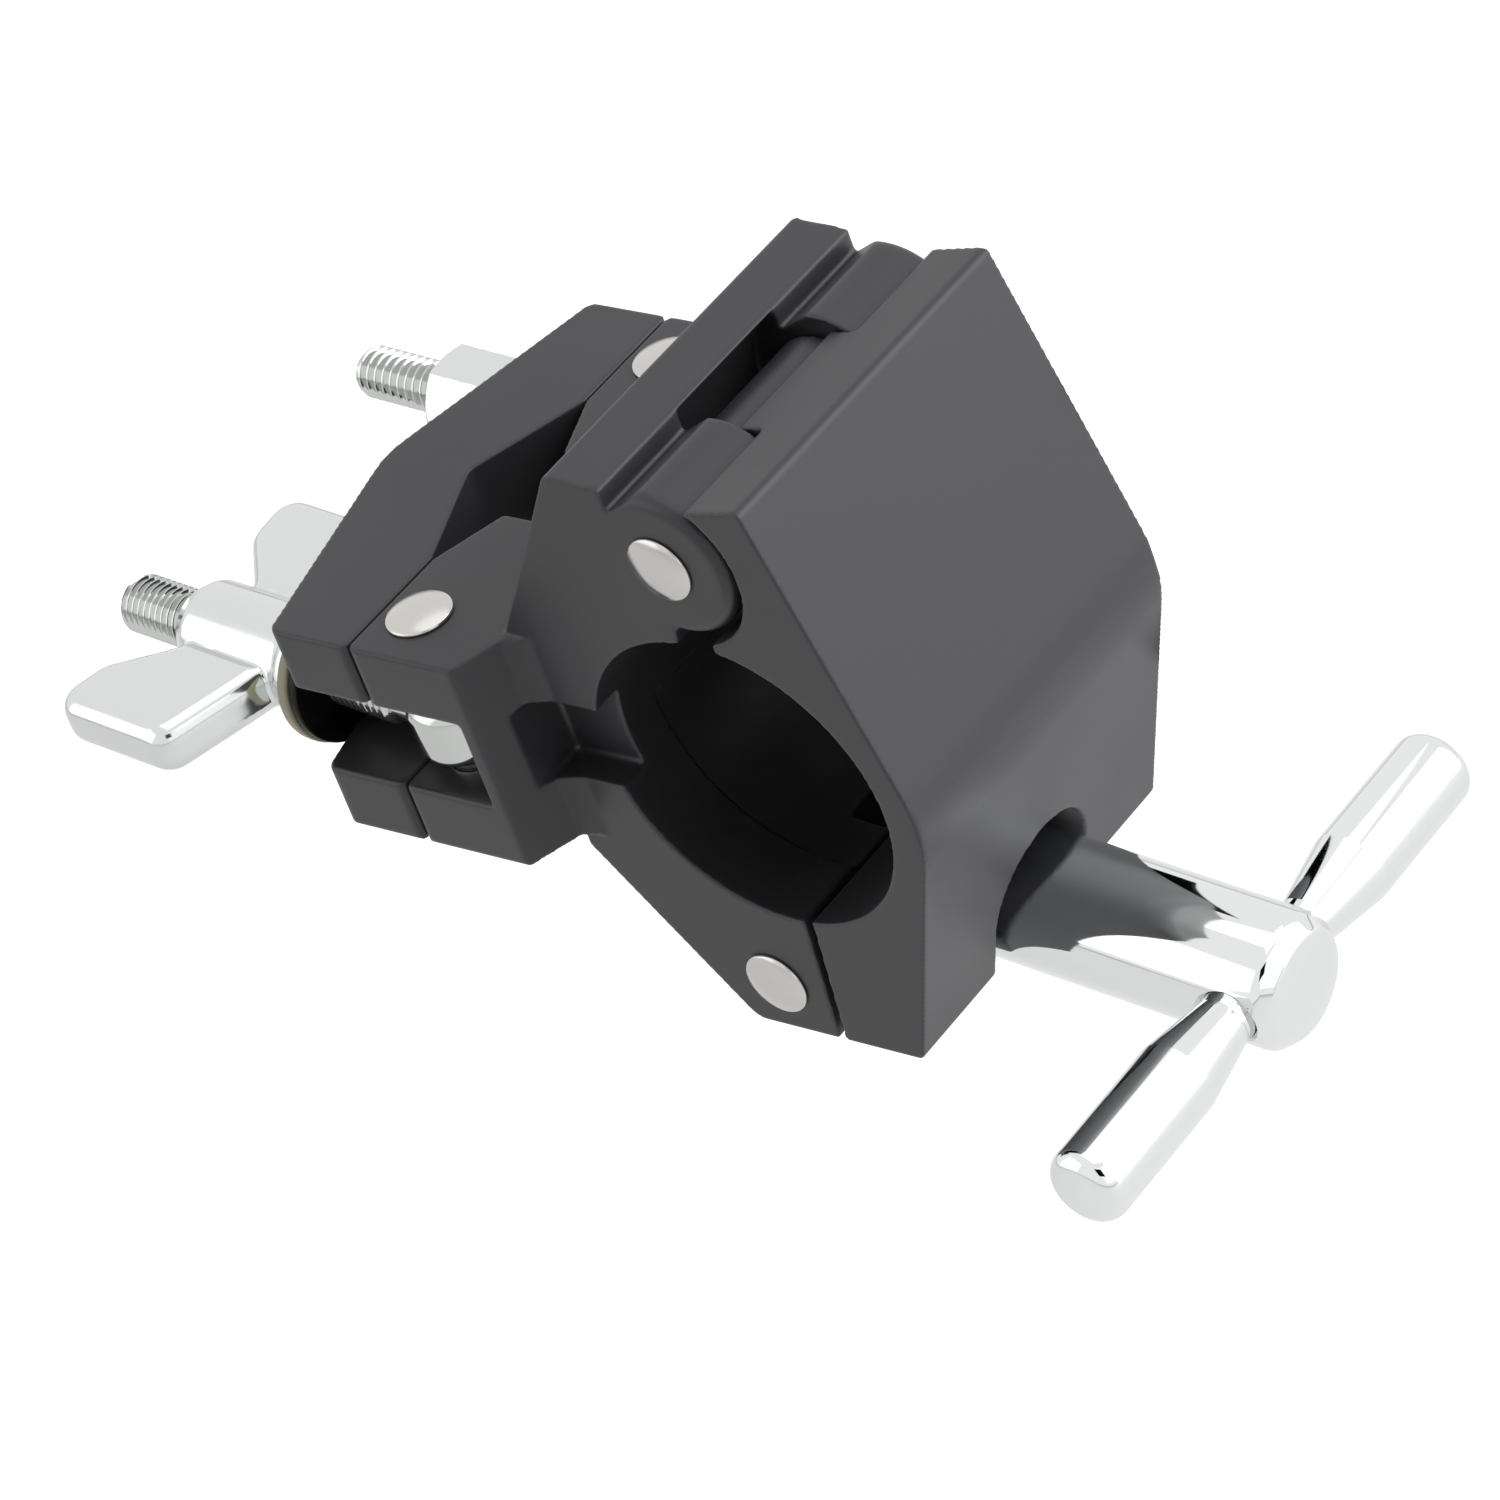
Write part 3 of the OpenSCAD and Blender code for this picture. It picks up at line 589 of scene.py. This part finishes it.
# Shank and head radius in mm, and the axis of the world that the rivet runs along: 1 is Y and 2 is
# Z.
rivet("rivet_hinge", "hinge_rivet", "casting", 3, 4, 1)
rivet("rivet_latch", "latch_rivet", "casting", 3, 4, 1)
rivet("rivet_jaw_near", "jaw_rivet_near", "casting", 2.9, 3.9, 2)
rivet("rivet_jaw_far", "jaw_rivet_far", "casting", 2.9, 3.9, 2)

# %% [markdown]
# ## The washers
# Steel washers are punched, which rounds their outer edge on one side, and nylon ones are moulded
# with a small radius all round. Each is a flat ring, read off the CAD solid along its own screw's
# axis, with eased edges.

# %% Washers
def washer(name, node, place, body, hole_r, edge, slot, finish):
    """A ring with eased edges, as thick and wide as its CAD node is along and across a screw."""
    corners = [place.inverted() @ vertex.co / mm for vertex in nodes[node].data.vertices]
    near, far = (pick(c.x for c in corners) for pick in (min, max))
    out_r = max(math.hypot(c.y, c.z) for c in corners)
    ring = eased([(near, hole_r, 0), (near, out_r, edge), (far, out_r, edge), (far, hole_r, 0)], 4)
    put(name, turned(ring, 96), place, body, slot, finish, node)


handle_hole_r, wing_hole_r, hex_hole_r = 4.05, 3.55, 3.2
washer("seat_nylon", "handle_nylon_washer", handle_place, "t_washers", handle_hole_r, 0.25,
       "nylon", nylon)
washer("seat_steel", "handle_steel_washer", handle_place, "t_washers", handle_hole_r, 0.2,
       "zinc_steel", zinc)
washer("wing_nylon", "wing_nylon_washer", wing_place, "wing_washers", wing_hole_r, 0.3,
       "nylon", nylon)
washer("wing_steel", "wing_steel_washer", wing_place, "wing_washers", wing_hole_r, 0.25,
       "black_steel", black_steel)
washer("hex_nylon", "hex_nylon_washer", hex_place, "hex_washers", hex_hole_r, 0.3,
       "nylon", nylon)
washer("hex_steel", "hex_steel_washer", hex_place, "hex_washers", hex_hole_r, 0.25,
       "black_steel", black_steel)

# %% [markdown]
# ## The threads
# A thread is a helix, so a plain ring of grooves would look wrong from close up. Here the rings of
# a tube are sheared: every vertex slides along the stud by its share of a turn, so that the crest
# that leaves a ring joins the next one. Each turn has a flat root, a flank, a flat crest and a
# flank. Points past an end are held on it, and a cone limits the radius there, which makes the
# chamfer.

# %% Threaded studs
root_end, crest_start, crest_end = 0.22, 0.5, 0.68
merge = 0.004 * mm


def threaded(radius, pitch, start, end, chamfer, turns=48):
    """A mesh of a rod along X, in mm, with a helical thread of a pitch from start to end."""
    depth = 0.6 * pitch
    profile = [(0.0, radius - depth), (root_end, radius - depth), (crest_start, radius),
               (crest_end, radius)]
    rows = int((end - start) / pitch + 2) * len(profile)
    form = bmesh.new()
    rings = []
    for row in range(-len(profile), rows + 1):
        share, out = profile[row % len(profile)]
        first = start + pitch * (row // len(profile) + share)
        ring = []
        for i in range(turns):
            x = first + pitch * i / turns
            held = min(max(x, start), end)
            r = min(out, radius - chamfer + (end - held), radius - depth + (held - start))
            a = 2 * math.pi * i / turns
            ring.append(form.verts.new((held * mm, r * math.cos(a) * mm, r * math.sin(a) * mm)))
        rings.append(ring)
    for k in range(len(rings) - 1):
        for i in range(turns - 1):
            form.faces.new((rings[k][i], rings[k][i + 1], rings[k + 1][i + 1], rings[k + 1][i]))
        step = len(profile)
        if k + 1 + step < len(rings):
            form.faces.new((rings[k][-1], rings[k + step][0], rings[k + 1 + step][0],
                            rings[k + 1][-1]))
    bmesh.ops.remove_doubles(form, verts=form.verts, dist=merge)
    bmesh.ops.dissolve_degenerate(form, edges=form.edges, dist=merge)
    rims = [edge for edge in form.edges if len(edge.link_faces) == 1]
    bmesh.ops.holes_fill(form, edges=rims, sides=0)
    bmesh.ops.recalc_face_normals(form, faces=form.faces)
    mesh = bpy.data.meshes.new("threaded")
    form.to_mesh(mesh)
    form.free()
    return mesh


def swing_stud(name, node, place, body, eye, neck_r, neck_end, radius, pitch, tip, upright):
    """A stud with an eye at its pivot: eye is (radius, length, hole radius), all in mm."""
    eye_r, eye_len, hole_r = eye
    round_r = 0.24 * eye_len
    neck_start, lap, tip_chamfer = hole_r + 1.2, 0.4, 1.3
    ring = eased([(-eye_len / 2, hole_r, 0), (-eye_len / 2, eye_r, round_r),
                  (eye_len / 2, eye_r, round_r), (eye_len / 2, hole_r, 0)], 8)
    lay = Matrix.Rotation(quarter, 4, "Y" if upright else "Z")
    stud = put(name, turned(ring, 72), place, body, "zinc_steel", zinc, node)
    stud.data.transform(lay)
    neck = turned(eased([(neck_start, 0, 0), (neck_start, neck_r, 0), (neck_end, neck_r, 0),
                         (neck_end, 0, 0)]), 64)
    rod = threaded(radius, pitch, neck_end - lap, tip, tip_chamfer)
    for mesh in (neck, rod):
        part = bpy.data.objects.new("part", mesh)
        scene.collection.objects.link(part)
        part.matrix_world = stud.matrix_world
        join = stud.modifiers.new("join", "BOOLEAN")
        join.object, join.operation, join.solver = part, "UNION", "EXACT"
        bpy.context.view_layer.objects.active = stud
        bpy.ops.object.modifier_apply(modifier=join.name)
        bpy.data.objects.remove(part)
    stud.data.shade_smooth()
    stud.data.set_sharp_from_angle(angle=math.radians(28))
    print(name, "thread of", radius * 2, "mm, faces:", len(stud.data.polygons))


# Each stud's eye, neck radius and end, thread radius and pitch, tip, and whether its eye stands
# upright.
swing_stud("t_bolt_stud", "handle_bolt", handle_place, "t_bolt", (5.6, 12, 3.05), 3.3, 9,
           4.0, 1.25, 43.6, False)
swing_stud("wing_stud_rod", "wing_bolt", wing_place, "wing_stud", (5.6, 8, 2.95), 2.9, 9,
           3.5, 1.0, 54.5, True)
swing_stud("hex_stud_rod", "hex_bolt", hex_place, "hex_stud", (5.6, 8, 2.95), 2.6, 9,
           3.15, 1.27, 54.5, True)
